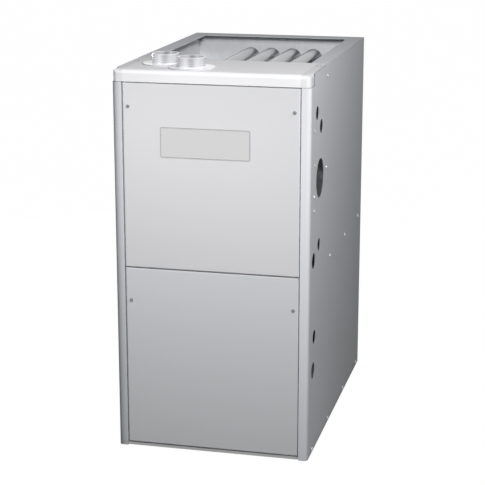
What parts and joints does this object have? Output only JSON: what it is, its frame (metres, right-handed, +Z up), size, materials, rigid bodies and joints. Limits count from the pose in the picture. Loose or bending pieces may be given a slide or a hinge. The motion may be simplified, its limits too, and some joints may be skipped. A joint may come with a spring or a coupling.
{
  "type": "forced air gas furnace",
  "caption": "Upright condensing gas furnace cabinet with lift-off doors, an open supply top, burners, tubes, inducer and blower inside.",
  "frame": {"origin": "middle of the cabinet's footprint, on the floor plane under its foot flanges", "axes": "+Z up, -Y towards the doors, +X towards the side with the pipe and wire entries, on the viewer's right"},
  "size_m": [0.4492, 0.7134, 0.9008],
  "materials": {
    "casing_paint": "satin grey enamel",
    "door_paint": "satin light grey enamel",
    "cap_paint": "satin near-white enamel",
    "plate_film": "smooth blank film",
    "galvanised_steel": "zinc spangle",
    "zinc_plate": "bright zinc plating",
    "liner_felt": "dark fibre mat",
    "foil_board": "foil-faced fibre board",
    "white_pvc": "glossy white pipe",
    "black_rubber": "matt black rubber",
    "aluminised_steel": "aluminised, drawn lengthwise",
    "coil_steel": "plain stainless tube",
    "fin_aluminium": "bare rolled fin",
    "black_plastic": "moulded, fine grain",
    "grey_plastic": "moulded, smooth",
    "red_plastic": "moulded, glossy",
    "black_pipe": "black-varnished steel pipe",
    "orifice_brass": "turned",
    "valve_casting": "die-cast, blasted",
    "knob_plastic": "moulded blue",
    "ceramic": "unglazed ceramic",
    "motor_enamel": "dark baked enamel",
    "capacitor_can": "drawn can",
    "board_laminate": "solder-masked laminate"
  },
  "bodies": {
    "cabinet": {"casing": "casing_paint", "base_pan": "casing_paint", "blower_deck": "galvanised_steel", "vestibule_panel": "galvanised_steel", "top_cap": "cap_paint", "casing_screws": "zinc_plate", "cap_screws": "zinc_plate", "foil_liner": "foil_board", "vent_stub": "white_pvc", "intake_stub": "white_pvc", "vent_pipe": "white_pvc", "vent_couplings": "black_rubber", "heat_tube_1": "aluminised_steel", "heat_tube_2": "aluminised_steel", "heat_tube_3": "aluminised_steel", "heat_tube_4": "aluminised_steel", "collector_box": "aluminised_steel", "coil_tubes": "coil_steel", "coil_fins": "fin_aluminium", "coil_header": "black_plastic", "burner_box": "galvanised_steel", "burners": "aluminised_steel", "gas_manifold": "black_pipe", "gas_orifices": "orifice_brass", "gas_valve": "valve_casting", "ignitor": "ceramic", "flame_sensor": "ceramic", "rollout_switches": "black_plastic", "limit_switch": "black_plastic", "inducer_housing": "black_plastic", "inducer_motor": "motor_enamel", "pressure_switch": "grey_plastic", "pressure_hose": "black_rubber", "condensate_trap": "grey_plastic", "drain_hose": "black_rubber", "blower_housing": "galvanised_steel", "blower_rails": "galvanised_steel", "blower_motor": "motor_enamel", "motor_mount": "zinc_plate", "run_capacitor": "capacitor_can", "control_bracket": "galvanised_steel", "control_board": "board_laminate", "transformer": "motor_enamel", "door_switch": "black_plastic", "junction_box": "galvanised_steel"},
    "upper_door": {"upper_door": "door_paint", "blank_plate": "plate_film", "upper_door_screws": "zinc_plate"},
    "lower_door": {"lower_door": "door_paint", "lower_door_screws": "zinc_plate", "lower_door_liner": "liner_felt"},
    "blower_wheel": {"blower_wheel": "galvanised_steel", "blower_shaft": "zinc_plate"},
    "inducer_wheel": {"inducer_wheel": "aluminised_steel"},
    "gas_valve_knob": {"gas_valve_knob": "knob_plastic"},
    "door_switch_plunger": {"door_switch_plunger": "grey_plastic"},
    "rollout_reset_left": {"rollout_reset_left": "red_plastic"},
    "rollout_reset_right": {"rollout_reset_right": "red_plastic"}
  },
  "joints": [
    {"name": "upper_door_pull", "type": "slide", "parent": "cabinet", "child": "upper_door", "axis": [0, -1, 0], "range_m": [0, 0.25]},
    {"name": "lower_door_pull", "type": "slide", "parent": "cabinet", "child": "lower_door", "axis": [0, -1, 0], "range_m": [0, 0.25]},
    {"name": "blower_spin", "type": "hinge", "parent": "cabinet", "child": "blower_wheel", "pos_m": [0, 0.0164, 0.209], "axis": [1, 0, 0], "continuous": true},
    {"name": "inducer_spin", "type": "hinge", "parent": "cabinet", "child": "inducer_wheel", "pos_m": [-0.07815, -0.2696, 0.592], "axis": [0, 1, 0], "continuous": true},
    {"name": "gas_valve_turn", "type": "hinge", "parent": "cabinet", "child": "gas_valve_knob", "pos_m": [0.14405, -0.3012, 0.78325], "axis": [0, -1, 0], "range_deg": [0, 90]},
    {"name": "door_switch_travel", "type": "slide", "parent": "cabinet", "child": "door_switch_plunger", "axis": [0, -1, 0], "range_m": [0, 0.006]},
    {"name": "reset_press_left", "type": "slide", "parent": "cabinet", "child": "rollout_reset_left", "axis": [0, 1, 0], "range_m": [0, 0.002], "stiffness_N_per_m": 100},
    {"name": "reset_press_right", "type": "slide", "parent": "cabinet", "child": "rollout_reset_right", "axis": [0, 1, 0], "range_m": [0, 0.002], "stiffness_N_per_m": 100}
  ],
  "couplings": [
    {"joint": "door_switch_travel", "follows": "lower_door_pull", "ratio": 0.024}
  ]
}
